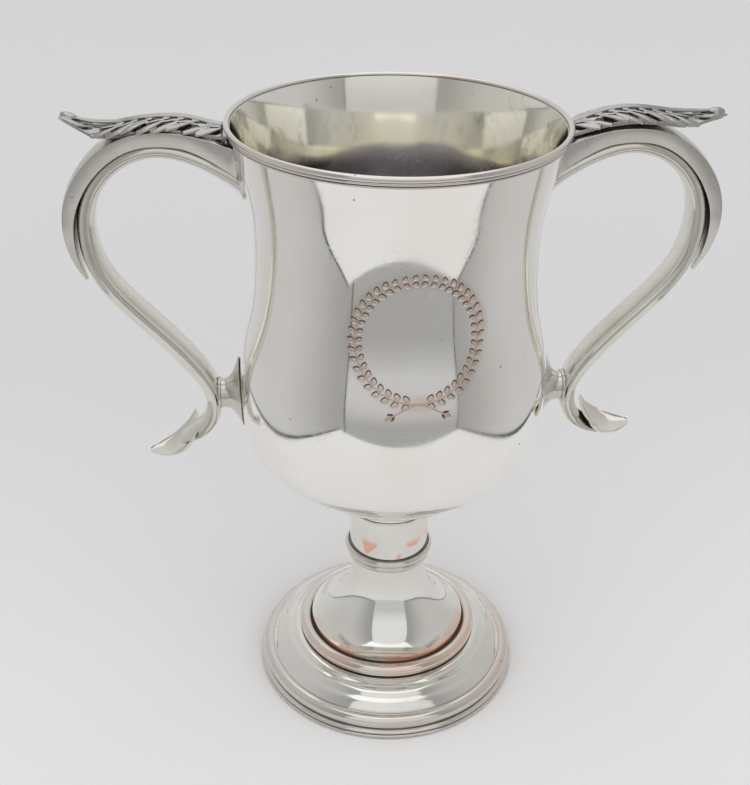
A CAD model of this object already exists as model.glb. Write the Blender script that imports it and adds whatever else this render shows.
import math

import bmesh
import bpy
import numpy as np
from mathutils import Matrix


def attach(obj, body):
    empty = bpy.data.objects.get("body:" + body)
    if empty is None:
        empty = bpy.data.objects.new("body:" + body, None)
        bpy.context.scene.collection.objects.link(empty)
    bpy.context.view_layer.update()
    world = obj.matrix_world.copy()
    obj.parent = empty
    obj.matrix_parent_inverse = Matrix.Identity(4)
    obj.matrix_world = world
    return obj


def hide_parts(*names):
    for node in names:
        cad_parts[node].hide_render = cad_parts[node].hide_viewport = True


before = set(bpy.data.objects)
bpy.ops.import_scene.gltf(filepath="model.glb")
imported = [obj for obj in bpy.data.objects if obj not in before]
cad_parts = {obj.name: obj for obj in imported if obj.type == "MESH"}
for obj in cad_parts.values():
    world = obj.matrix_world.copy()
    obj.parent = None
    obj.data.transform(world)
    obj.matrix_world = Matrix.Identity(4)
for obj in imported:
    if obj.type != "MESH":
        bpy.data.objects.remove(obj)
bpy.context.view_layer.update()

MM = 0.001
TURNS = 256                     # segments round every lathed piece
CREASE_ANGLE = 32               # degrees; sharper edges are shaded as edges
WELD = 1e-7                     # m; vertices closer than this are one

# ------------------------------------------------------------------ curve helpers


def spline(points, start=None, end=None, count=24):
    """Cubic through the points, chord-length spaced; start and end are end directions."""
    p = np.array(points, float)
    n = len(p)
    h = np.linalg.norm(np.diff(p, axis=0), axis=1)
    a = np.zeros((n, n))
    b = np.zeros_like(p)
    for i in range(1, n - 1):
        a[i, i - 1], a[i, i], a[i, i + 1] = h[i], 2 * (h[i - 1] + h[i]), h[i - 1]
        b[i] = 3 * (h[i] * (p[i] - p[i - 1]) / h[i - 1] + h[i - 1] * (p[i + 1] - p[i]) / h[i])
    for row, other, side, given in ((0, 1, 0, start), (n - 1, n - 2, n - 2, end)):
        if given is None:
            a[row, row], a[row, other] = 2, 1
            b[row] = 3 * (p[side + 1] - p[side]) / h[side]
        else:
            a[row, row] = 1
            b[row] = np.array(given, float) / np.linalg.norm(given)
    d = np.linalg.solve(a, b)
    s = np.r_[0, np.cumsum(h)]
    out = []
    for x in np.linspace(0, s[-1], count):
        i = min(np.searchsorted(s, x, "right") - 1, n - 2)
        t = (x - s[i]) / h[i]
        out.append((2 * t**3 - 3 * t**2 + 1) * p[i] + (t**3 - 2 * t**2 + t) * h[i] * d[i]
                   + (3 * t**2 - 2 * t**3) * p[i + 1] + (t**3 - t**2) * h[i] * d[i + 1])
    return np.array(out)


def arc(cx, cz, r, a0, a1, count=14):
    """Points of a circular arc in a profile; angles in degrees, 0 pointing outward, 90 up."""
    t = np.radians(np.linspace(a0, a1, count))
    return np.stack([cx + r * np.cos(t), cz + r * np.sin(t)], 1)


def join(*runs):
    """One outline from several runs of points, without doubled points."""
    pts = [p for run in runs for p in np.atleast_2d(np.array(run, float))]
    out = [pts[0]]
    for p in pts[1:]:
        if np.linalg.norm(p - out[-1]) > 1e-4:
            out.append(p)
    if np.linalg.norm(out[0] - out[-1]) < 1e-4:
        out.pop()
    return np.array(out)


def ease(x, lo, hi):
    """Smooth step from 0 at lo to 1 at hi."""
    t = np.clip((x - lo) / (hi - lo), 0, 1)
    return t * t * (3 - 2 * t)


# ------------------------------------------------------------------ mesh helpers


def new_piece(name, verts, faces, mats, nodes, slot, face_mats=None):
    """Mesh object from millimetre points, riding the one body and standing for CAD nodes."""
    mesh = bpy.data.meshes.new(name)
    mesh.from_pydata([tuple(float(c) * MM for c in v) for v in verts], [], faces)
    mesh.validate()
    for m in mats:
        mesh.materials.append(m)
    mesh.polygons.foreach_set("use_smooth", [True] * len(mesh.polygons))
    if face_mats is not None:
        mesh.polygons.foreach_set("material_index", face_mats)
    weld_and_face_outward(mesh)
    mesh.set_sharp_from_angle(angle=math.radians(CREASE_ANGLE))
    obj = bpy.data.objects.new(name, mesh)
    bpy.context.scene.collection.objects.link(obj)
    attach(obj, "root")
    if nodes:
        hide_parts(*nodes)
    return obj


def weld_and_face_outward(mesh):
    bm = bmesh.new()
    bm.from_mesh(mesh)
    bmesh.ops.remove_doubles(bm, verts=bm.verts, dist=WELD)
    bmesh.ops.recalc_face_normals(bm, faces=bm.faces)
    bm.to_mesh(mesh)
    bm.free()


def lathe(name, outline, mats, slot, inner_from=None, dark=()):
    """Spins a closed (r, z) outline about Z, standing for the CAD node of the same name.

    Faces from outline index inner_from on, or near a dark (r, z, reach) spot, get the second material.
    """
    n = len(outline)
    marks = []
    for i in range(n):
        mid = (np.array(outline[i]) + np.array(outline[(i + 1) % n])) / 2
        in_groove = any(math.hypot(mid[0] - r, mid[1] - z) < reach for r, z, reach in dark)
        marks.append(1 if in_groove or (inner_from is not None and i >= inner_from) else 0)
    verts, faces = [], []
    for k in range(TURNS):
        c, s = math.cos(2 * math.pi * k / TURNS), math.sin(2 * math.pi * k / TURNS)
        verts += [(r * c, r * s, z) for r, z in outline]
    for k in range(TURNS):
        a, b = k * n, (k + 1) % TURNS * n
        for i in range(n):
            j = (i + 1) % n
            faces.append((a + i, b + i, b + j, a + j))
    return new_piece(name, verts, faces, mats, [name], slot, marks * TURNS if any(marks) else None)


def sweep(path, stations, section, count=140):
    """Rings of points along a path in X-Z; stations are rows (u, values...), section(values) is a ring."""
    st = np.array(stations, float)
    pts = spline(path, count=count)
    u = np.r_[0, np.cumsum(np.linalg.norm(np.diff(pts, axis=0), axis=1))]
    u /= u[-1]
    vals = station_values(st, u)
    tang = np.gradient(pts, axis=0)
    tang /= np.linalg.norm(tang, axis=1)[:, None]
    rings = []
    for p, t, v in zip(pts, tang, vals):
        inner = np.array([-t[1], t[0]])
        ring = section(*v)
        rings.append([(p[0] + q * inner[0], y, p[1] + q * inner[1]) for y, q in ring])
    return rings


def station_values(st, u):
    """Smooth values between stations, never overshooting them."""
    out = np.empty((len(u), st.shape[1] - 1))
    x = st[:, 0]
    for c in range(1, st.shape[1]):
        y = st[:, c]
        h, m = np.diff(x), np.diff(y) / np.diff(x)
        d = np.zeros(len(x))
        for i in range(1, len(x) - 1):
            if m[i - 1] * m[i] > 0:
                w1, w2 = 2 * h[i] + h[i - 1], h[i] + 2 * h[i - 1]
                d[i] = (w1 + w2) / (w1 / m[i - 1] + w2 / m[i])
        d[0], d[-1] = m[0], m[-1]
        k = np.clip(np.searchsorted(x, u, "right") - 1, 0, len(x) - 2)
        t = (u - x[k]) / h[k]
        out[:, c - 1] = ((2 * t**3 - 3 * t**2 + 1) * y[k] + (t**3 - 2 * t**2 + t) * h[k] * d[k]
                         + (3 * t**2 - 2 * t**3) * y[k + 1] + (t**3 - t**2) * h[k] * d[k + 1])
    return out


def skin(rings):
    """Vertices and faces of a closed tube through the rings, its ends capped."""
    n = len(rings[0])
    verts = [v for ring in rings for v in ring]
    faces = []
    for k in range(len(rings) - 1):
        a, b = k * n, (k + 1) * n
        for i in range(n):
            j = (i + 1) % n
            faces.append((a + i, a + j, b + j, b + i))
    faces.append(tuple(range(n)))
    faces.append(tuple(range((len(rings) - 1) * n, len(rings) * n)))
    return verts, faces


def rounded(corners, radii, steps=4):
    """Closed polygon with its corners rounded; corners may be dense runs with radius 0."""
    out = []
    n = len(corners)
    for i, (p, r) in enumerate(zip(corners, radii)):
        p = np.array(p, float)
        if r == 0:
            out.append(p)
            continue
        a, b = np.array(corners[i - 1], float) - p, np.array(corners[(i + 1) % n], float) - p
        la, lb = np.linalg.norm(a), np.linalg.norm(b)
        r = min(r, 0.45 * la, 0.45 * lb)
        p0, p1 = p + a / la * r, p + b / lb * r
        for t in np.linspace(0, 1, steps + 1):
            out.append((1 - t) ** 2 * p0 + 2 * t * (1 - t) * p + t**2 * p1)
    return out


def mirrored(verts):
    """The same vertices on the other side of the cup."""
    return [(-x, y, z) for x, y, z in verts]


# ------------------------------------------------------------------ materials


class Nodes:
    """Small helper for building a node tree."""

    def __init__(self, name):
        self.mat = bpy.data.materials.new(name)
        self.mat.use_nodes = True
        self.tree = self.mat.node_tree
        self.tree.nodes.clear()
        self.coord = self.add("ShaderNodeTexCoord").outputs["Object"]

    def add(self, kind, **props):
        node = self.tree.nodes.new(kind)
        for key, value in props.items():
            setattr(node, key, value)
        return node

    def link(self, a, b):
        self.tree.links.new(a, b)

    def put(self, socket, value):
        if isinstance(value, bpy.types.NodeSocket):
            self.link(value, socket)
        else:
            socket.default_value = value

    def math(self, op, a, b=0.0):
        node = self.add("ShaderNodeMath", operation=op)
        self.put(node.inputs[0], a)
        self.put(node.inputs[1], b)
        return node.outputs[0]

    def noise(self, scale, detail=3.0, rough=0.5, stretch=None, distort=0.0):
        node = self.add("ShaderNodeTexNoise")
        node.inputs["Scale"].default_value = scale
        node.inputs["Detail"].default_value = detail
        node.inputs["Roughness"].default_value = rough
        node.inputs["Distortion"].default_value = distort
        self.link(self.scaled(stretch) if stretch else self.coord, node.inputs["Vector"])
        return node.outputs["Fac"]

    def scaled(self, stretch):
        mapping = self.add("ShaderNodeMapping")
        mapping.inputs["Scale"].default_value = stretch
        self.link(self.coord, mapping.inputs["Vector"])
        return mapping.outputs["Vector"]

    def cells(self, scale, stretch=None, feature="F1"):
        node = self.add("ShaderNodeTexVoronoi", feature=feature)
        node.inputs["Scale"].default_value = scale
        self.link(self.scaled(stretch) if stretch else self.coord, node.inputs["Vector"])
        return node.outputs["Distance"]

    def ramp(self, value, lo, hi, out_lo=0.0, out_hi=1.0):
        node = self.add("ShaderNodeMapRange", interpolation_type="SMOOTHSTEP")
        self.put(node.inputs["Value"], value)
        for key, v in (("From Min", lo), ("From Max", hi), ("To Min", out_lo), ("To Max", out_hi)):
            node.inputs[key].default_value = v
        return node.outputs["Result"]

    def mix(self, fac, a, b):
        node = self.add("ShaderNodeMix", data_type="RGBA")
        self.put(node.inputs["Factor"], fac)
        for socket, value in ((node.inputs[6], a), (node.inputs[7], b)):        # its colour sockets
            self.put(socket, value if isinstance(value, bpy.types.NodeSocket) else (*value, 1.0))
        return node.outputs[2]

    def position(self):
        """The point's X, Y and Z outputs, in the object's own frame."""
        xyz = self.add("ShaderNodeSeparateXYZ")
        self.link(self.coord, xyz.inputs[0])
        return xyz.outputs

    def surface(self, shader):
        """Makes the shader the material's surface."""
        out = self.add("ShaderNodeOutputMaterial")
        self.link(shader.outputs[0], out.inputs[0])
        return self.mat


SILVER = (0.93, 0.92, 0.90)
SILVER_WARM = (0.905, 0.885, 0.835)
TARNISH = (0.16, 0.135, 0.12)
PIT = (0.22, 0.19, 0.17)
COPPER = (0.86, 0.50, 0.36)
COPPER_WORN = (0.90, 0.62, 0.48)
BROWN_STAIN = (0.78, 0.68, 0.60)
YELLOWED = (0.82, 0.79, 0.62)
BLOTCH = (0.46, 0.45, 0.40)
DEPOSIT = ((0.50, 0.48, 0.51), (0.66, 0.63, 0.63))      # violet-grey, dark and light
WREATH_CENTRE = (0.0028, -0.0440, 0.1510)               # m, on the bowl's front
WREATH_STAIN_R = 0.0186                                 # m


def silver(name, base=SILVER, warm=SILVER_WARM, rough=0.06, tarnish=0.9, cavity=0.0016, copper=0.25,
           pits=0.5, wave=1.0, smudge=1.0, zone=None):
    """Worn polished plate: tint patches, dark soldered grooves, copper on crests, pits, fine scratches."""
    n = Nodes(name)
    patches = n.noise(38.0, 4.0, 0.55)
    color = n.mix(n.ramp(patches, 0.38, 0.66), base, warm)
    crest = n.add("ShaderNodeNewGeometry").outputs["Pointiness"]
    worn = n.math("MULTIPLY", n.ramp(crest, 0.53, 0.60), n.ramp(n.noise(55.0, 3.0), 0.50, 0.66))
    color = n.mix(n.math("MULTIPLY", worn, copper), color, COPPER)
    ao = n.add("ShaderNodeAmbientOcclusion", samples=6)
    ao.inputs["Distance"].default_value = cavity
    shade = n.ramp(ao.outputs["AO"], 0.55, 0.15, 0.0, 1.0)
    grime = n.math("MULTIPLY", shade, n.ramp(n.noise(180.0, 3.0), 0.25, 0.5, 0.75, 1.0))
    color = n.mix(n.math("MULTIPLY", grime, tarnish), color, TARNISH)
    spots = n.ramp(n.cells(170.0), 0.030, 0.085, 1.0, 0.0)
    spots = n.math("MULTIPLY", spots, n.ramp(n.noise(60.0, 2.0), 0.52, 0.58))
    spots = n.math("MULTIPLY", spots, pits)
    color = n.mix(n.math("MULTIPLY", spots, 0.8), color, PIT)
    scratch_a = n.cells(260.0, (1.0, 0.03, 0.6), "DISTANCE_TO_EDGE")
    scratch_b = n.cells(240.0, (0.05, 0.8, 0.9), "DISTANCE_TO_EDGE")
    lines = n.math("MAXIMUM", *(n.ramp(scratch, 0.0, 0.02, 1.0, 0.0) for scratch in (scratch_a, scratch_b)))
    lines = n.math("MULTIPLY", lines, n.ramp(n.noise(90.0, 2.0), 0.5, 0.62))
    haze = n.ramp(n.noise(26.0, 5.0, 0.6, distort=0.6), 0.42, 0.72)
    r = n.math("ADD", rough, n.math("MULTIPLY", haze, 0.07 * smudge))
    r = n.math("ADD", r, n.math("MULTIPLY", lines, 0.12))
    r = n.math("ADD", r, n.math("MULTIPLY", grime, 0.35))
    r = n.math("ADD", r, n.math("MULTIPLY", spots, 0.4))
    if zone:
        color, r = zone(n, color, r)
    height = n.math("MULTIPLY", n.noise(32.0, 2.0, 0.4), 0.055 * wave)
    height = n.math("SUBTRACT", height, n.math("MULTIPLY", lines, 0.0012))
    height = n.math("SUBTRACT", height, n.math("MULTIPLY", spots, 0.02))
    height = n.math("ADD", height, n.math("MULTIPLY", n.noise(900.0, 2.0), 0.0006))
    bump = n.add("ShaderNodeBump")
    bump.inputs["Strength"].default_value = 1.0
    bump.inputs["Distance"].default_value = MM
    n.link(height, bump.inputs["Height"])
    shader = n.add("ShaderNodeBsdfPrincipled")
    n.link(color, shader.inputs["Base Color"])
    shader.inputs["Metallic"].default_value = 1.0
    n.link(r, shader.inputs["Roughness"])
    n.link(bump.outputs["Normal"], shader.inputs["Normal"])
    return n.surface(shader)


def inside_tarnish(n, color, r):
    """Dull violet-grey deposit in the depth of the bowl, ending above in an uneven tide line."""
    at = n.position()
    sideways = n.math("ABSOLUTE", n.math("SUBTRACT", at["X"], 0.004))
    tide = n.ramp(sideways, 0.008, 0.034, 0.1800, 0.1735)
    tide = n.math("ADD", tide, n.ramp(n.noise(42.0, 3.0), 0.3, 0.7, -0.0022, 0.0022))
    depth = n.math("SUBTRACT", tide, at["Z"])
    bottom = n.ramp(depth, -0.0012, 0.0022)
    halo = n.ramp(depth, -0.012, 0.001)
    color = n.mix(n.math("MULTIPLY", halo, 0.45), color, YELLOWED)
    blotch = n.ramp(n.noise(85.0, 4.0, 0.6, distort=1.2), 0.52, 0.68)
    blotch = n.math("MULTIPLY", blotch, n.ramp(sideways, 0.018, 0.034))
    color = n.mix(n.math("MULTIPLY", blotch, 0.6), color, BLOTCH)
    dull = n.mix(n.ramp(n.noise(60.0, 4.0), 0.35, 0.65), *DEPOSIT)
    color = n.mix(bottom, color, dull)
    return color, n.math("ADD", r, n.math("MULTIPLY", bottom, 0.16))


def foot_bleed(n, color, r):
    """Copper showing through near the soldered joints, strongest at the foot of the stem."""
    at = n.position()
    low = n.ramp(at["Z"], 0.0590, 0.0560, 0.0, 1.0)
    high = n.ramp(at["Z"], 0.0500, 0.0512)
    patch = n.ramp(n.noise(95.0, 1.0), 0.56, 0.60)
    stem = n.math("MULTIPLY", n.math("MULTIPLY", low, high), patch)
    edge = n.math("MULTIPLY", n.ramp(at["Z"], 0.0205, 0.0190), n.ramp(at["Z"], 0.0165, 0.0172))
    edge = n.math("MULTIPLY", edge, n.ramp(n.noise(40.0, 3.0), 0.38, 0.58))
    return n.mix(n.math("MAXIMUM", stem, n.math("MULTIPLY", edge, 0.7)), color, COPPER), r


def step_bleed(n, color, r):
    """Worn orange band on the top of the stepped ring, pinkish wear lower down."""
    at = n.position()
    band = n.math("MULTIPLY", n.ramp(at["Z"], 0.0140, 0.0162), n.ramp(at["Z"], 0.0186, 0.0176))
    band = n.math("MULTIPLY", band, n.ramp(n.noise(34.0, 3.0), 0.36, 0.60))
    return n.mix(n.math("MULTIPLY", band, 0.55), color, COPPER_WORN), r


def wreath_halo(n, color, r):
    """Faint brown stain along the engraved ring."""
    offset = n.add("ShaderNodeVectorMath", operation="SUBTRACT")
    n.link(n.coord, offset.inputs[0])
    offset.inputs[1].default_value = WREATH_CENTRE
    length = n.add("ShaderNodeVectorMath", operation="LENGTH")
    n.link(offset.outputs[0], length.inputs[0])
    off = n.math("ABSOLUTE", n.math("SUBTRACT", length.outputs["Value"], WREATH_STAIN_R))
    stain = n.ramp(off, 0.0034, 0.0012)
    stain = n.math("MULTIPLY", stain, n.ramp(n.noise(70.0, 3.0), 0.30, 0.62, 0.25, 0.75))
    return n.mix(stain, color, BROWN_STAIN), r


def stage_glow(name, color, front, middle, rear):
    """Softly lit panel, with its brightness at the tent's opening, at the cup and at the tent's back."""
    n = Nodes(name)
    at = n.position()
    near = n.ramp(at["Y"], TENT_FRONT, 0.0, front, middle)
    far = n.ramp(at["Y"], 0.0, TENT_BACK, 0.0, rear - middle)
    uneven = n.ramp(n.noise(3.0, 2.0), 0.3, 0.7, 0.98, 1.0)
    shader = n.add("ShaderNodeEmission")
    n.link(n.mix(uneven, (0, 0, 0), color), shader.inputs["Color"])
    n.link(n.math("ADD", near, far), shader.inputs["Strength"])
    return n.surface(shader)


def paper(name, near, far, mirror_glow):
    """Matt paper, a little darker far off; mirror_glow is what polished metal sees on top."""
    n = Nodes(name)
    at = n.position()
    tint = n.mix(n.ramp(at["Y"], -0.10, 0.30), near, far)
    shader = n.add("ShaderNodeBsdfDiffuse")
    cloudy = n.ramp(n.noise(4.0, 3.0), 0.3, 0.7, 0.0, 0.015)
    n.link(n.mix(cloudy, tint, (0.7, 0.7, 0.7)), shader.inputs["Color"])
    n.link(n.ramp(n.noise(400.0, 2.0), 0.2, 0.8, 0.9, 1.0), shader.inputs["Roughness"])
    glow = n.add("ShaderNodeEmission")
    path = n.add("ShaderNodeLightPath")
    n.link(n.math("MULTIPLY", path.outputs["Is Glossy Ray"], mirror_glow), glow.inputs["Strength"])
    both_shaders = n.add("ShaderNodeAddShader")
    n.link(shader.outputs[0], both_shaders.inputs[0])
    n.link(glow.outputs[0], both_shaders.inputs[1])
    return n.surface(both_shaders)


M_BOWL = silver("bowl_plate", pits=0.9, wave=1.2, zone=wreath_halo)
M_INSIDE = silver("bowl_inside", base=(0.90, 0.885, 0.83), warm=(0.87, 0.85, 0.75), rough=0.07, tarnish=0.5,
                  copper=0.0, pits=0.8, wave=2.0, zone=inside_tarnish)
M_WIRE = silver("wire_plate", base=(0.74, 0.72, 0.68), warm=(0.74, 0.67, 0.62), rough=0.11, copper=0.5,
                pits=0.9, zone=step_bleed)
M_FOOT = silver("foot_plate", base=(0.86, 0.85, 0.81), warm=(0.80, 0.79, 0.73), rough=0.085, copper=0.2,
                wave=2.2, zone=foot_bleed)
M_HANDLE = silver("handle_plate", base=(0.77, 0.75, 0.70), warm=(0.70, 0.67, 0.60), rough=0.12, copper=0.2,
                  wave=1.2, pits=0.9, cavity=0.0026)
M_BACK = silver("handle_back_plate", base=(0.66, 0.645, 0.61), warm=(0.58, 0.56, 0.51), rough=0.20,
                copper=0.2, wave=0.8, pits=0.8)
M_LEAF = silver("leaf_plate", base=(0.50, 0.49, 0.475), warm=(0.42, 0.41, 0.39), rough=0.19, tarnish=1.0,
                cavity=0.0024, copper=0.1, wave=0.3)
M_GROOVE = silver("groove_tarnish", base=(0.10, 0.09, 0.08), warm=(0.16, 0.14, 0.12), rough=0.40, copper=0.0,
                  pits=0.0)
M_CUT = silver("wreath_cut", base=(0.12, 0.10, 0.09), warm=(0.20, 0.15, 0.13), rough=0.34, copper=0.0,
               pits=0.0)
M_LAUREL = silver("wreath_leaf", base=(0.78, 0.73, 0.68), warm=(0.74, 0.63, 0.54), rough=0.20, copper=0.5,
                  pits=0.0)
M_STALK = silver("wreath_stalk", base=(0.74, 0.58, 0.48), warm=(0.70, 0.52, 0.42), rough=0.24, copper=0.6,
                 pits=0.0)
M_BOSS = silver("boss_plate", base=(0.68, 0.66, 0.62), warm=(0.60, 0.57, 0.52), rough=0.14, copper=0.2)

# ------------------------------------------------------------------ lathed pieces

SPHERE_R, SPHERE_Z, JOIN_R = 60.0, 133.4, 36.0
WALL, LIP_R, LIP_Z = 1.0, 49.6, 199.6


def sphere_z(r, radius=SPHERE_R):
    """Height of the bowl's dished bottom at radius r."""
    return SPHERE_Z - np.sqrt(radius**2 - np.asarray(r, float) ** 2)


def bowl_side(inset):
    """Bowl profile from the axis at the bottom up to the lip, moved in by inset."""
    radius = SPHERE_R - inset
    join_r = JOIN_R * radius / SPHERE_R
    r = np.linspace(0.0, join_r, 26)
    dish = np.stack([r, sphere_z(r, radius)], 1)
    belly, waist, lip = (49.1 - inset, 116.0), (43.6 - inset, 163.0), (LIP_R - inset, LIP_Z)
    turn = [(43.7 - inset, 91.1 + 0.6 * inset), (47.1 - inset, 96.1), (48.4 - inset, 102.0)]
    low = spline([dish[-1], *turn, belly], (0.8, 0.6), (0, 1), 40)
    mid = spline([belly, (48.4 - inset, 127.5), (45.4 - inset, 141.5), (43.9 - inset, 154.0), waist],
                 (0, 1), (0, 1), 50)
    top = spline([waist, (44.3 - inset, 174.5), (46.2 - inset, 185.5), lip], (0, 1), (0.30, 1), 36)
    return join(dish, low, mid, top)


BOWL_OUT = bowl_side(0.0)


def bowl_r(z):
    """Outside radius of the bowl at height z."""
    return np.interp(z, BOWL_OUT[:, 1], BOWL_OUT[:, 0])


def make_bowl():
    """Sheet bowl, its profile going up the outside and down the inside."""
    outer, inner = BOWL_OUT.copy(), bowl_side(WALL)[::-1].copy()
    outer[0, 0] = inner[-1, 0] = 0.0
    outline = np.vstack([outer, inner])
    lathe("cup_body", outline, [M_BOWL, M_INSIDE], "bowl_plate", inner_from=len(outer))


def make_rim():
    """Rolled wire on the lip with a reed and a fine bead under it, the grooves between them black."""
    outline = join(
        [(48.95, 197.35)],
        arc(49.15, 197.85, 0.42, -80, 70),
        arc(49.5, 198.85, 0.55, -62, 60),
        arc(49.65, 200.1, 0.9, -52, 200, 34),
        [(48.6, 199.45), (48.59, 199.0), (48.95, 198.8)],
    )
    dark = [(49.55, 198.35, 0.36), (49.2, 197.4, 0.26), (49.9, 199.35, 0.24)]
    lathe("rim_moulding", outline, [M_WIRE, M_GROOVE], "wire_plate", dark=dark)


def make_flange():
    """Stepped disc under the bowl, coving down to a bead on the stem."""
    z1, z2, z3 = float(sphere_z(30.0)), float(sphere_z(25.4)), float(sphere_z(13.5))
    top = np.stack([np.linspace(13.5, 30.0, 20), sphere_z(np.linspace(13.5, 30.0, 20))], 1)
    outline = join(
        top,
        arc(29.4, z1 - 0.95, 1.0, 60, -75),
        [(27.8, z1 - 2.3)],
        arc(24.8, z2 - 2.0, 0.95, 55, -95),
        spline([(23.7, z2 - 2.9), (17.2, z2 - 5.5), (14.6, 70.5), (14.1, 67.1)], (-1, -0.1), (-0.1, -1), 26),
        arc(13.75, 66.4, 0.65, 55, -70, 10),
        [(13.5, 65.6), (13.5, z3)],
    )
    dark = [(27.8, z1 - 2.3, 0.35), (25.3, z2 - 1.4, 0.25), (23.9, z2 - 2.9, 0.35), (14.15, 67.1, 0.28),
            (13.6, 65.7, 0.25)]
    lathe("bowl_flange", outline, [M_FOOT, M_GROOVE], "wire_plate", dark=dark)


STEM_R, STEM_BORE_R, STEM_FOOT_Z = 13.5, 12.3, 50.6
FOOT_WALL = 1.2
RIPPLE, RIPPLES = 0.10, 3       # height and number of the spinning marks left in the skirt


def make_stem():
    """Straight tube from the knop up to the bowl, with a ring of vertices every millimetre."""
    top = float(sphere_z(STEM_R))
    outline = join(
        [(STEM_BORE_R, STEM_FOOT_Z), (STEM_R, STEM_FOOT_Z)],
        [(STEM_R, STEM_FOOT_Z + i) for i in range(1, 24)],
        [(STEM_R, top), (STEM_BORE_R, top)],
    )
    lathe("stem", outline, [M_FOOT], "foot_plate")


def make_knop():
    """Two beads round the joint of stem and foot."""
    outline = join(
        [(STEM_BORE_R, 45.6), (13.4, 45.6)],
        arc(13.15, 47.0, 1.25, -68, 62, 16),
        arc(13.75, 49.45, 1.35, -55, 75, 18),
        [(13.6, STEM_FOOT_Z), (STEM_BORE_R, STEM_FOOT_Z)],
    )
    dark = [(13.6, STEM_FOOT_Z, 0.35), (13.8, 48.2, 0.30), (13.2, 45.7, 0.30)]
    lathe("knop_ring", outline, [M_WIRE, M_GROOVE], "wire_plate", dark=dark)


def make_dome():
    """Trumpet-shaped sheet from the knop down to the stepped ring."""
    w = FOOT_WALL
    out = spline([(12.9, 45.6), (13.3, 37.0), (18.0, 25.9), (27.0, 19.2)], (0, -1), (1, -0.25), 60)
    back = spline([(27.0, 19.2 - w), (18.0 - w, 25.9 - w), (13.3 - w, 37.0), (12.9 - w, 45.6)],
                  (-1, 0.25), (0, 1), 40)
    lathe("foot_dome", join(out, back), [M_FOOT], "foot_plate")


def make_step_ring():
    """Half-round ring over the joint of dome and skirt."""
    outline = join(
        [(24.8, 14.0), (31.3, 14.0)],
        arc(29.25, 16.0, 2.25, -55, 118, 24),
        [(27.3, 17.2), (27.0, 18.0), (24.8, 18.0)],
    )
    dark = [(27.05, 17.9, 0.35), (31.2, 14.1, 0.40)]
    lathe("foot_step_ring", outline, [M_WIRE, M_GROOVE], "wire_plate", dark=dark)


def make_skirt():
    """Low domed sheet, faintly rippled, between the stepped ring and the foot's edge."""
    out = spline([(31.3, 14.0), (35.6, 12.6), (39.6, 9.9), (41.4, 7.6)], (1, -0.12), (0.35, -1), 90)
    along = np.linspace(0, 1, len(out))
    fade = ease(along, 0.0, 0.25) * (1 - ease(along, 0.8, 1.0))
    out[:, 1] += RIPPLE * np.sin(along * 2 * math.pi * RIPPLES) * fade
    back = spline([(40.2, 7.6), (37.8, 9.4), (35.4, 11.4), (30.6, 12.8)], (-0.35, 1), (-1, 0.12), 20)
    lathe("foot_skirt", join([(24.8, 14.0)], out, back, [(24.8, 12.8)]), [M_FOOT], "foot_plate")


def make_rim_band():
    """Moulded wire round the foot: bead, fine bead and a broad quarter round."""
    outline = join(
        [(38.5, 0.0), (45.3, 0.0)],
        arc(45.0, 0.9, 0.85, -80, 65, 14),
        arc(45.05, 2.45, 0.62, -60, 70, 12),
        [(44.4, 3.25)],
        arc(42.3, 5.2, 2.55, -42, 92, 22),
        [(41.6, 7.55), (38.5, 7.6)],
    )
    dark = [(44.4, 3.3, 0.35), (45.5, 1.75, 0.20), (41.6, 7.55, 0.30)]
    lathe("foot_rim_band", outline, [M_WIRE, M_GROOVE], "wire_plate", dark=dark)


for make in (make_bowl, make_rim, make_flange, make_stem, make_knop, make_dome, make_step_ring, make_skirt,
             make_rim_band):
    make()

# ------------------------------------------------------------------ handles, drawn at -X

OUTER_BACK = [(-44.0, 192.5), (-51.0, 195.3), (-60.0, 198.0), (-68.5, 198.9), (-77.0, 197.9), (-85.0, 194.2),
              (-91.5, 188.2), (-96.2, 180.5), (-98.2, 172.0), (-97.8, 164.0), (-96.2, 157.5), (-94.0, 151.8)]
BAR_MID = [(-43.0, 181.2), (-56.8, 189.4), (-69.5, 192.9), (-82.2, 188.7), (-90.2, 178.5), (-92.0, 167.0),
           (-88.6, 153.8), (-80.2, 142.2), (-70.8, 131.8), (-62.2, 120.9), (-57.6, 110.5), (-60.0, 100.9),
           (-68.6, 94.6)]
LEFT_LIP = [(-64.6, 99.8), (-66.6, 96.2), (-70.2, 92.9), (-74.6, 90.8), (-79.4, 89.9)]
RIGHT_LIP = [(-64.9, 101.8), (-66.9, 98.9), (-70.2, 97.0), (-74.6, 96.0), (-79.8, 96.4)]    # bent up a bit
# half section of the bar as (across, inward): round back, fine step, reed on the inner side
BAR_HALF = [(0.0, -0.5), (0.30, -0.488), (0.56, -0.445), (0.77, -0.35), (0.91, -0.21), (0.985, -0.06),
            (1.0, 0.06), (0.97, 0.15), (0.89, 0.205), (0.86, 0.225), (0.87, 0.27), (0.82, 0.36), (0.66, 0.44),
            (0.40, 0.485), (0.0, 0.5)]
BOSS_Z = 111.0


def channel_ring(width, depth, crown):
    """Section of the handle's back: crowned outside, narrower and flat inside."""
    h = width / 2
    back = [(-h + width * k / 10, -crown * (1 - (2 * k / 10 - 1) ** 2)) for k in range(11)]
    corners = back + [(0.84 * h, depth), (-0.84 * h, depth)]
    radii = [0.35] + [0] * 9 + [0.35, 0.25, 0.25]
    return rounded(corners, radii)


def bar_ring(width, depth):
    """Section of the bar at a width and depth."""
    right = [(a * width / 2, b * depth) for a, b in BAR_HALF]
    left = [(-y, q) for y, q in right[-2:0:-1]]
    return right + left


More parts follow.
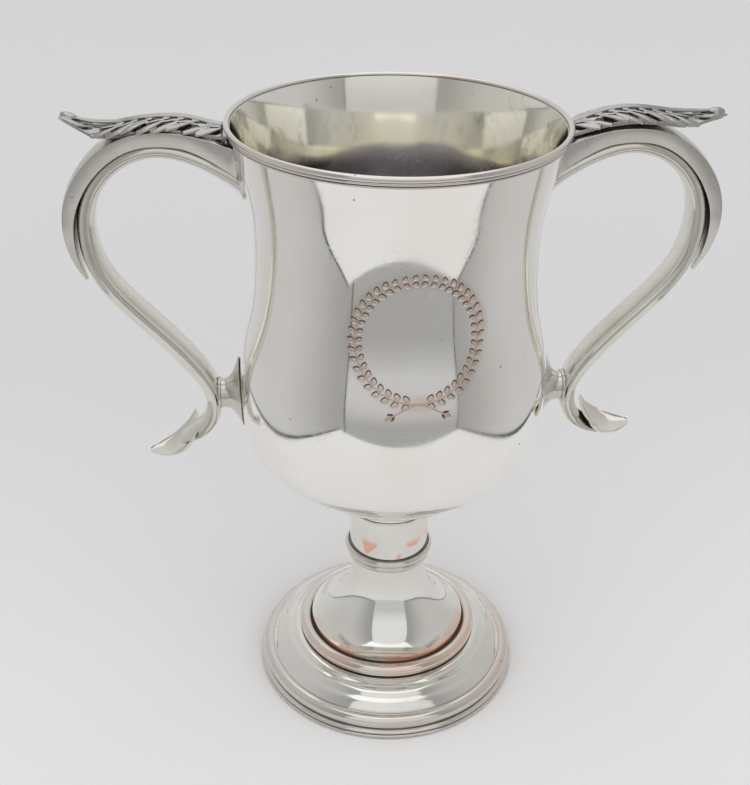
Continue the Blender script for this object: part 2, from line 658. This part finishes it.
def lip_ring(half, dip, thick):
    """Spoon section of the lip: middle lower by dip, its two edges turned up a little."""
    t = np.linspace(-1, 1, 29)
    top = dip * (1 - t**2) - 0.3 * ease(np.abs(t), 0.84, 1.0)
    upper = [(half * a, q) for a, q in zip(t, top)]
    lower = [(half * a, q + thick * (1 - 0.4 * abs(a) ** 3)) for a, q in zip(t[::-1], top[::-1])]
    return upper + lower


def one_side(name, side, verts, faces, mat, slot):
    """A handle piece drawn on the left, put on its side, standing for the CAD node of that name and side."""
    verts = verts if side == "left" else mirrored(verts)
    new_piece(f"{name}_{side}", verts, faces, [mat], [f"{name}_{side}"], slot)


def both(name, verts, faces, mat, slot):
    for side in ("left", "right"):
        one_side(name, side, verts, faces, mat, slot)


def trim_to_bowl(verts, gap=0.02):
    """Pushes points that would sit inside the bowl out to its wall."""
    out = []
    for x, y, z in verts:
        wall = bowl_r(z) + gap
        if math.hypot(x, y) < wall and z < LIP_Z + 3:
            x *= math.sqrt(max(wall**2 - y**2, 1e-6)) / abs(x)
        out.append((x, y, z))
    return out


def make_back():
    """Outer C-shaped back; its stations are (u, width, depth, crown)."""
    rings = sweep(OUTER_BACK, [
        (0.00, 13.2, 8.0, 0.6), (0.10, 12.6, 6.0, 0.6), (0.22, 12.2, 4.6, 0.6), (0.36, 12.2, 4.4, 0.6),
        (0.50, 12.4, 4.5, 0.6), (0.64, 12.2, 4.3, 0.6), (0.78, 11.0, 3.2, 0.5), (0.90, 7.6, 1.9, 0.4),
        (1.00, 1.6, 0.8, 0.1)], channel_ring)
    verts, faces = skin(rings)
    both("scroll_back", trim_to_bowl(verts), faces, M_BACK, "handle_plate")


def make_bar():
    """Inner S-shaped bar; its stations are (u, width, depth)."""
    rings = sweep(BAR_MID, [
        (0.00, 10.6, 7.0), (0.05, 10.2, 5.4), (0.12, 10.0, 4.8), (0.20, 10.0, 4.8), (0.28, 10.1, 4.9),
        (0.36, 10.2, 5.2), (0.43, 10.3, 5.6), (0.50, 10.4, 5.9), (0.57, 10.4, 6.1), (0.64, 10.4, 6.2),
        (0.71, 10.2, 6.3), (0.78, 10.2, 6.3), (0.83, 10.2, 5.7), (0.88, 10.4, 5.2), (0.92, 11.0, 4.8),
        (0.96, 11.4, 3.4), (1.00, 8.0, 1.6)], bar_ring, 220)
    verts, faces = skin(rings)
    both("scroll_bar", trim_to_bowl(verts), faces, M_HANDLE, "handle_plate")


def make_lip():
    """Lily lip at the end of each bar, square across its root and rounded at the tip."""
    # (u, half width, dip, thickness)
    stations = [
        (0.00, 8.8, 0.7, 0.9), (0.10, 9.3, 0.9, 0.9), (0.30, 9.0, 1.2, 0.85), (0.50, 7.5, 1.2, 0.85),
        (0.70, 5.5, 0.9, 0.8), (0.86, 3.4, 0.5, 0.7), (0.96, 1.8, 0.25, 0.6), (1.00, 0.7, 0.1, 0.45)]
    for side, path in (("left", LEFT_LIP), ("right", RIGHT_LIP)):
        verts, faces = skin(sweep(path, stations, lip_ring, 60))
        one_side("scroll_lip", side, verts, faces, M_HANDLE, "handle_plate")


PLATE_HALF_H, PLATE_HALF_W, POST_R = 13.0, 6.4, 4.7
PLATE_SPANS, POST_TURNS = 96, 72


def marquise(angle):
    """Distance from the centre of the pointed plate to its edge, both sides being arcs of one circle."""
    c, s = abs(math.cos(angle)), abs(math.sin(angle))
    arc_r = (PLATE_HALF_H**2 + PLATE_HALF_W**2) / (2 * PLATE_HALF_W)
    lo, hi = 0.0, 2 * PLATE_HALF_H
    for _ in range(40):
        m = (lo + hi) / 2
        inside = (m * c + arc_r - PLATE_HALF_W) ** 2 + (m * s) ** 2 < arc_r**2
        lo, hi = (m, hi) if inside else (lo, m)
    return lo


def hugging(radius, angle, off):
    """Point off mm outside the bowl's wall, at a radius and angle round the boss."""
    y, z = radius * math.cos(angle), BOSS_Z + radius * math.sin(angle)
    return (-math.sqrt(bowl_r(z) ** 2 - y**2) - off, y, z)


def make_boss_plate():
    """Pointed plate that hugs the bowl and flares like a trumpet into the post."""
    angles = [2 * math.pi * k / PLATE_SPANS for k in range(PLATE_SPANS)]
    rings = []
    for rise, share in ((0.0, 0.97), (0.25, 1.0), (0.55, 0.985)):           # the plate's edge
        rings.append([hugging(share * marquise(a), a, 0.1 + rise) for a in angles])
    for t in np.linspace(0.03, 1.0, 16):                                    # the flare
        flare = (1 - t) ** 2.6
        rise = 0.65 + 5.3 * t
        rings.append([hugging(POST_R + (0.985 * marquise(a) - POST_R) * flare, a, rise) for a in angles])
    verts, faces = skin(rings)
    both("boss_plate", verts, faces, M_BOSS, "boss_plate")


def make_boss_post():
    """Turned post with its beads, spun about a level axis; the outline is (x, radius)."""
    profile = join(
        [(-47.2, 0.01), (-47.2, 5.9), (-48.6, 6.0), (-49.6, 6.0), (-50.4, 5.6), (-50.4, 4.9), (-55.0, 4.7)],
        arc(-55.7, 4.85, 0.55, 180, 0, 9),
        [(-56.2, 4.4), (-57.0, 3.6), (-57.0, 0.01)],
    )
    verts, faces = [], []
    n = len(profile)
    for k in range(POST_TURNS):
        a = 2 * math.pi * k / POST_TURNS
        verts += [(x, r * math.cos(a), BOSS_Z + r * math.sin(a)) for x, r in profile]
    for k in range(POST_TURNS):
        a, b = k * n, (k + 1) % POST_TURNS * n
        for i in range(n - 1):
            faces.append((a + i, a + i + 1, b + i + 1, b + i))
    faces.append(tuple(k * n for k in range(POST_TURNS)))
    faces.append(tuple(k * n + n - 1 for k in range(POST_TURNS)))
    both("boss_post", verts, faces, M_BOSS, "boss_plate")


make_back()
make_bar()
make_lip()
make_boss_plate()
make_boss_post()

# ------------------------------------------------------------------ acanthus thumb leaves

LEFT_CREST = [(-50.6, 199.0), (-53.6, 199.6), (-57.4, 200.7), (-61.3, 201.5), (-66.6, 201.8), (-71.7, 201.5),
              (-76.7, 200.8), (-80.1, 200.2), (-84.1, 200.1), (-88.2, 200.4), (-91.8, 201.3), (-94.2, 202.0),
              (-96.0, 202.5)]
RIGHT_CREST = [(-50.6, 199.0), (-53.6, 200.2), (-57.4, 201.7), (-61.3, 202.8), (-66.6, 203.4), (-71.7, 203.2),
               (-76.7, 202.6), (-80.1, 202.2), (-84.1, 202.0), (-88.2, 201.9), (-91.8, 201.9), (-94.2, 201.8),
               (-96.0, 201.8)]
# (u, half width, drop to the edge)
LEAF_SHAPE = [(0.0, 5.0, 1.7), (0.15, 6.0, 2.2), (0.29, 6.3, 2.5), (0.49, 6.1, 2.2), (0.60, 5.9, 2.0),
              (0.70, 5.4, 2.3), (0.78, 5.0, 2.5), (0.86, 4.0, 1.4), (0.93, 2.9, 0.5), (1.0, 1.8, 0.3)]
LEAF_STEPS = 240
LEAF_VOXEL = 0.17               # mm, of the grid that fuses a leaf's shells into one casting


class LeafForm:
    """Upper surface of a leaf, from its crest line and LEAF_SHAPE."""

    def __init__(self, crest):
        self.crest = spline(crest, count=LEAF_STEPS)
        self.u = np.linspace(0, 1, LEAF_STEPS)
        vals = station_values(np.array(LEAF_SHAPE), self.u)
        self.half, self.drop = vals[:, 0], vals[:, 1]

    def at(self, u, t, lift=0.0):
        """Point of the leaf's upper surface: u along it, t across (-1 to 1), raised by lift."""
        x = np.interp(u, self.u, self.crest[:, 0])
        z = np.interp(u, self.u, self.crest[:, 1])
        half, drop = np.interp(u, self.u, self.half), np.interp(u, self.u, self.drop)
        return np.array([x, half * t, z - drop * min(abs(t), 1.2) ** 1.7 + lift])


def tube(points, radii, flat=0.8, sides=10):
    """Closed tapering tube through 3-D points, round-ended, flattened in height."""
    pts = np.array(points)
    tang = np.gradient(pts, axis=0)
    tang /= np.linalg.norm(tang, axis=1)[:, None]
    rings = []
    for p, t, r in zip(pts, tang, radii):
        side = np.cross(t, (0, 0, 1.0))
        side /= np.linalg.norm(side)
        up = np.cross(side, t)
        rings.append([tuple(p + r * (math.cos(a) * side + flat * math.sin(a) * up))
                      for a in np.linspace(0, 2 * math.pi, sides, endpoint=False)])
    return skin(rings)


def add_shell(store, shell):
    """Adds one closed shell to a (vertices, faces) store."""
    verts, faces = shell
    base = len(store[0])
    store[0].extend(verts)
    store[1].extend([tuple(base + i for i in f) for f in faces])


def finger(form, side, u0, reach, size, lift):
    """One lobe of the outer half, swept towards the tip to a broad round end."""
    root = 0.34                 # of the half width, where the lobe leaves the blade
    pts, radii = [], []
    for k in range(12):
        f = k / 11
        t = side * (root + (reach - root) * math.sin(f * math.pi / 2))
        u = u0 + 0.165 * f ** 1.2
        hump = lift * math.sin(math.pi * min(f * 1.02, 1.0)) ** 0.8
        pts.append(form.at(min(u, 1.0), t, hump - 0.1))
        radii.append(size * (0.45 + 0.55 * ease(f, 0.15, 0.75)))
    pts.append(pts[-1] + (pts[-1] - pts[-2]) * 0.6)
    radii.append(size * 0.5)
    return tube(pts, radii, 0.50)


def flute(form, side, u0):
    """Shallow ridge running from the midrib obliquely into a lobe."""
    pts = [form.at(min(u0 + 0.15 * f, 1.0), side * (0.18 + 0.34 * f), 0.05) for f in np.linspace(0, 1, 9)]
    return tube(pts, [0.30, 0.38, 0.44, 0.48, 0.50, 0.50, 0.46, 0.38, 0.26], 0.7)


def leaf_blade(form):
    """Thin scalloped base under the lobes."""
    rings = []
    for u in np.linspace(0.0, 1.0, 60):
        end = math.sqrt(max(1 - ((u - 0.9) / 0.1) ** 2, 0.0)) if u > 0.9 else 1.0
        ts = np.linspace(-1, 1, 21) * 0.84 * max(end, 0.15)
        upper = [tuple(form.at(u, t, -0.5)) for t in ts]
        depth = [1.0 + 1.4 * (1 - abs(t)) * (u < 0.72) for t in ts]
        lower = [tuple(form.at(u, t, -0.5) - np.array([0, 0, d])) for t, d in zip(ts[::-1], depth[::-1])]
        rings.append(upper + lower)
    return skin(rings)


def leaf_shells(crest):
    """Blade, three clusters of finger lobes each side with flutes into them, twin midribs and a bulb tip."""
    form = LeafForm(crest)
    store = ([], [])
    add_shell(store, leaf_blade(form))
    for start, size, lift in ((-0.10, 1.35, 0.60), (0.18, 1.40, 0.65), (0.46, 1.30, 0.60)):
        for k, reach in enumerate((0.86, 1.0, 0.98)):
            for side in (-1, 1):
                root = start + 0.088 * k
                add_shell(store, finger(form, side, max(root, 0.0), reach, size, lift))
                add_shell(store, flute(form, side, max(root - 0.03, 0.0)))
    for start in (0.80, 0.85):
        for side in (-1, 1):
            add_shell(store, finger(form, side, start, 0.85, 0.85, 0.3))
    for side in (-1, 1):
        rib = [form.at(u, side * 0.13, 0.55) for u in np.linspace(0.0, 0.93, 50)]
        add_shell(store, tube(rib, [0.56 - 0.16 * k / 49 for k in range(50)], 1.0))
    tip = [form.at(u, 0.0, 0.35) for u in np.linspace(0.90, 1.0, 9)]
    add_shell(store, tube(tip, [0.9, 1.15, 1.35, 1.45, 1.5, 1.45, 1.3, 1.0, 0.55], 0.8, 16))
    return store


def make_leaves():
    for side, crest in (("left", LEFT_CREST), ("right", RIGHT_CREST)):
        verts, faces = leaf_shells(crest)
        verts = verts if side == "left" else mirrored(verts)
        node = "thumb_leaf_" + side
        obj = new_piece(node + "_cast", verts, faces, [M_LEAF], [node], "leaf_plate")
        remesh = obj.modifiers.new("fuse", "REMESH")
        remesh.mode = "VOXEL"
        remesh.voxel_size = LEAF_VOXEL * MM
        remesh.use_smooth_shade = True
        soften = obj.modifiers.new("soften", "SMOOTH")
        soften.factor = 0.5
        soften.iterations = 2


make_leaves()

# ------------------------------------------------------------------ engraved wreath

WREATH_AZ = math.radians(3.6)   # of its centre, from -Y towards +X
WREATH_Z = 151.0
WREATH_R = 18.3
BOWL_R_HERE = 45.0              # turns a distance along the skin into an angle
BRANCH = math.radians(175)      # of the ring, covered by one branch
PAIRS = 20                      # of leaves on a branch


def on_bowl(a, b, proud):
    """Point a mm sideways and b mm up from the wreath's centre, measured on the bowl's skin."""
    z = WREATH_Z + b
    r = bowl_r(z)
    slope = bowl_r(z + 0.5) - bowl_r(z - 0.5)
    n = math.hypot(1, slope)
    az = WREATH_AZ + a / BOWL_R_HERE
    out_r, out_z = r + proud / n, z - proud * slope / n
    return (out_r * math.sin(az), -out_r * math.cos(az), out_z)


def inlay(store, outline, proud, sink=0.06):
    """Thin domed patch on the bowl with the given outline of (a, b) points."""
    n = len(outline)
    ca, cb = sum(p[0] for p in outline) / n, sum(p[1] for p in outline) / n
    base = len(store[0])
    for f, h in ((1.0, -sink), (1.0, proud * 0.45), (0.72, proud * 0.9), (0.36, proud)):
        store[0].extend(on_bowl(ca + (a - ca) * f, cb + (b - cb) * f, h) for a, b in outline)
    store[0].append(on_bowl(ca, cb, proud))
    store[0].append(on_bowl(ca, cb, -sink))
    for row in range(3):
        lower, upper = base + row * n, base + (row + 1) * n
        for i in range(n):
            j = (i + 1) % n
            store[1].append((lower + i, lower + j, upper + j, upper + i))
    crown, under = base + 4 * n, base + 4 * n + 1
    for i in range(n):
        j = (i + 1) % n
        store[1].append((base + 3 * n + i, base + 3 * n + j, crown))
        store[1].append((base + j, base + i, under))


def leaflet(at, heading, length, width, count=14):
    """Small pointed oval, its root at the given point."""
    c, s = math.cos(heading), math.sin(heading)
    out = []
    for k in range(count):
        t = 2 * math.pi * k / count
        along = length * (0.5 - 0.5 * math.cos(t))
        across = 0.5 * width * math.sin(t) * (1 + 0.25 * math.cos(t))
        out.append((at[0] + along * c - across * s, at[1] + along * s + across * c))
    return out


def moved(point, heading, distance, up=0.0):
    """The (a, b) point a distance along a heading, and then up."""
    return (point[0] + distance * math.cos(heading), point[1] + distance * math.sin(heading) + up)


def stroke(points, widths):
    """Outline of a tapering line through (a, b) points, as short quads for the inlay."""
    quads = []
    for (p, q), (w0, w1) in zip(zip(points, points[1:]), zip(widths, widths[1:])):
        d = np.array(q) - np.array(p)
        n = np.array([-d[1], d[0]]) / np.linalg.norm(d)
        p, q = np.array(p) - d * 0.06, np.array(q) + d * 0.06
        quads.append([tuple(p + n * w0), tuple(p - n * w0), tuple(q - n * w1), tuple(q + n * w1)])
    return quads


def make_wreath():
    """Two laurel branches crossing at the bottom; every leaf has a dark cut along its upper side."""
    fill, cut, stalk = ([], []), ([], []), ([], [])
    for side in (-1, 1):
        ring = [-math.pi / 2 + side * f * BRANCH for f in np.linspace(0, 1, 70)]
        stem = [(WREATH_R * math.cos(ang), WREATH_R * math.sin(ang)) for ang in ring]
        tail = [(-side * 7.4, -22.0), (-side * 4.4, -20.2), (-side * 2.0, -18.9)]
        line = tail + stem
        for quad in stroke(line, list(np.linspace(0.30, 0.14, len(line)))):
            inlay(stalk, quad, 0.09)
        for k in range(PAIRS):
            f = 0.045 + 0.945 * k / (PAIRS - 1)
            ang = -math.pi / 2 + side * f * BRANCH
            at = (WREATH_R * math.cos(ang), WREATH_R * math.sin(ang))
            size = 1.0 if k < PAIRS - 3 else 0.82
            for hand in (-1, 1):
                turn = ang + side * math.pi / 2 + hand * math.radians(50)
                root = moved(at, turn, 0.40, 0.14)
                inlay(cut, leaflet(root, turn, 2.35 * size, 1.75 * size), 0.05)
                inlay(fill, leaflet(moved(root, turn, 0.16, -0.30), turn, 2.0 * size, 1.45 * size), 0.13)
        bud = math.atan2(tail[0][1] - tail[1][1], tail[0][0] - tail[1][0])
        inlay(stalk, leaflet((-side * 7.0, -21.8), bud, 2.4, 1.6), 0.13)
        for lean in (-0.7, 0.7):
            inlay(cut, leaflet((-side * 6.6, -21.5), bud + lean, 1.9, 0.9), 0.08)
    new_piece("wreath_cut", *cut, [M_CUT], (), "bowl_plate")
    new_piece("wreath_fill", *fill, [M_LAUREL], (), "bowl_plate")
    new_piece("wreath_stalk", *stalk, [M_STALK], (), "bowl_plate")


make_wreath()

# CAD nodes that stay get their finish
for node in ("joint_plate_left", "joint_plate_right"):
    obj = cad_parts[node]
    obj.data.materials.clear()
    obj.data.materials.append(M_BOSS)

# ------------------------------------------------------------------ studio

# metres
TENT_FRONT, TENT_BACK, TENT_HEIGHT, TENT_HALF = -0.26, 0.42, 0.55, 0.215
OPEN_LEFT, OPEN_RIGHT = -0.185, 0.20
SEAM_W, SEAM_LIFT = 0.005, 0.001
SWEEP_Y, SWEEP_R = 1.1, 0.3     # where the floor starts to curve up, and how tightly
FLOOR_HALF, WALL_TOP = 1.6, 1.2


def upright(start, end, low, high):
    """Corners of an upright rectangle standing on the line from start to end."""
    return [(*start, low), (*end, low), (*end, high), (*start, high)]


def panel(name, corners, mat):
    """Flat piece of the tent, there for reflections only."""
    mesh = bpy.data.meshes.new(name)
    mesh.from_pydata(corners, [], [(0, 1, 2, 3)])
    mesh.materials.append(mat)
    obj = bpy.data.objects.new(name, mesh)
    bpy.context.scene.collection.objects.link(obj)
    obj.visible_camera = False
    obj.visible_diffuse = False
    obj.visible_shadow = False


PAPER = paper("paper", (0.945, 0.94, 0.935), (0.81, 0.81, 0.815), 0.02)
GLOW_WHITE = (1.0, 0.995, 0.99)
GLOW = stage_glow("tent_glow", GLOW_WHITE, 0.74, 0.74, 0.74)
GLOW_TOP = stage_glow("tent_top_glow", GLOW_WHITE, 1.15, 1.15, 1.15)
SIDE = stage_glow("tent_side_glow", GLOW_WHITE, 0.37, 0.58, 0.70)
SEAM = stage_glow("tent_seam", (1.0, 1.0, 1.1), 0.02, 0.02, 0.02)


def make_stage():
    """Pale paper floor sweeping up at the back, inside a small light tent open at the front."""
    front, back, height, x = TENT_FRONT, TENT_BACK, TENT_HEIGHT, TENT_HALF
    rows = [(y, 0.0) for y in (front, -0.1, 0.0, 0.2, 0.4, 0.7, SWEEP_Y)]
    for t in np.linspace(0, math.pi / 2, 12)[1:]:
        rows.append((SWEEP_Y + SWEEP_R * math.sin(t), SWEEP_R * (1 - math.cos(t))))
    rows.append((SWEEP_Y + SWEEP_R, WALL_TOP))
    verts = [(s * FLOOR_HALF, y, z) for y, z in rows for s in (-1, 1)]
    faces = [(2 * i, 2 * i + 1, 2 * i + 3, 2 * i + 2) for i in range(len(rows) - 1)]
    mesh = bpy.data.meshes.new("floor")
    mesh.from_pydata(verts, [], faces)
    mesh.materials.append(PAPER)
    mesh.polygons.foreach_set("use_smooth", [True] * len(mesh.polygons))
    floor = bpy.data.objects.new("floor", mesh)
    bpy.context.scene.collection.objects.link(floor)
    top = [(-x, front, height), (x, front, height), (x, back, height), (-x, back, height)]
    panel("tent_top", top, GLOW_TOP)
    panel("tent_back", upright((-x, back), (x, back), 0.12, height), GLOW)
    for s, tag in ((-1, "left"), (1, "right")):
        side, edge = s * x, OPEN_LEFT if s < 0 else OPEN_RIGHT
        panel("tent_side_" + tag, upright((side, front), (side, back), 0, height), SIDE)
        panel("tent_front_" + tag, upright((side, front), (edge, front), 0, height), SIDE)
        side, near = s * (x - SEAM_LIFT), front + SEAM_LIFT
        panel("seam_floor_" + tag, upright((side, front), (side, back), 0, SEAM_W), SEAM)
        panel("seam_open_" + tag, upright((edge, near), (edge + s * SEAM_W, near), 0, height), SEAM)


make_stage()

WORLD_LIGHT = 0.88                            # what matt surfaces receive
MIRRORED_LOW, MIRRORED_LEVEL, MIRRORED_HIGH = 0.39, 0.58, 0.82     # room seen in the metal, by height


def make_world():
    """Even light for matt surfaces; polished ones see a room that is dim below and bright above."""
    world = bpy.data.worlds.new("room")
    bpy.context.scene.world = world
    world.use_nodes = True
    world.cycles.sampling_method = "NONE"
    tree = world.node_tree

    def graded(source, lo, hi, out_lo, out_hi):
        node = tree.nodes.new("ShaderNodeMapRange")
        tree.links.new(source, node.inputs["Value"])
        for key, value in (("From Min", lo), ("From Max", hi), ("To Min", out_lo), ("To Max", out_hi)):
            node.inputs[key].default_value = value
        return node.outputs["Result"]

    coord = tree.nodes.new("ShaderNodeTexCoord")
    xyz = tree.nodes.new("ShaderNodeSeparateXYZ")
    tree.links.new(coord.outputs["Generated"], xyz.inputs[0])
    low = graded(xyz.outputs["Z"], -0.32, -0.10, MIRRORED_LOW, MIRRORED_LEVEL)
    high = graded(xyz.outputs["Z"], 0.15, 0.45, 0.0, MIRRORED_HIGH - MIRRORED_LEVEL)
    mirrored_room = tree.nodes.new("ShaderNodeMath")        # its default is to add
    tree.links.new(low, mirrored_room.inputs[0])
    tree.links.new(high, mirrored_room.inputs[1])
    path = tree.nodes.new("ShaderNodeLightPath")
    level = tree.nodes.new("ShaderNodeMix")
    level.inputs[2].default_value = WORLD_LIGHT
    tree.links.new(path.outputs["Is Glossy Ray"], level.inputs[0])
    tree.links.new(mirrored_room.outputs[0], level.inputs[3])
    background = tree.nodes["Background"]
    background.inputs["Color"].default_value = (1.0, 1.0, 1.005, 1)
    tree.links.new(level.outputs[0], background.inputs["Strength"])


make_world()

# ------------------------------------------------------------------ camera

CAM_AZIMUTH = 5.58          # degrees the viewer stands to the left of the front
CAM_DISTANCE = 0.3398       # from the axis, along the floor
CAM_HEIGHT = 0.30556
CAM_PITCH = 30.01           # downward
CAM_HEADING = -4.64         # of the view, clockwise from +Y
CAM_ROLL = 0.93
CAM_LENS, CAM_SENSOR = 55.12, 36.0      # mm

cam = bpy.data.objects.new("camera", bpy.data.cameras.new("camera"))
bpy.context.scene.collection.objects.link(cam)
az = math.radians(CAM_AZIMUTH)
cam.location = (-CAM_DISTANCE * math.sin(az), -CAM_DISTANCE * math.cos(az), CAM_HEIGHT)
turns = ((CAM_HEADING, "Z"), (90 - CAM_PITCH, "X"), (CAM_ROLL, "Z"))
heading, pitch, roll = (Matrix.Rotation(math.radians(angle), 4, axis) for angle, axis in turns)
cam.rotation_euler = (heading @ pitch @ roll).to_euler()
cam.data.sensor_width = CAM_SENSOR
cam.data.lens = CAM_LENS
cam.data.clip_start = 0.01
bpy.context.scene.camera = cam

bpy.context.scene.view_settings.view_transform = "Standard"
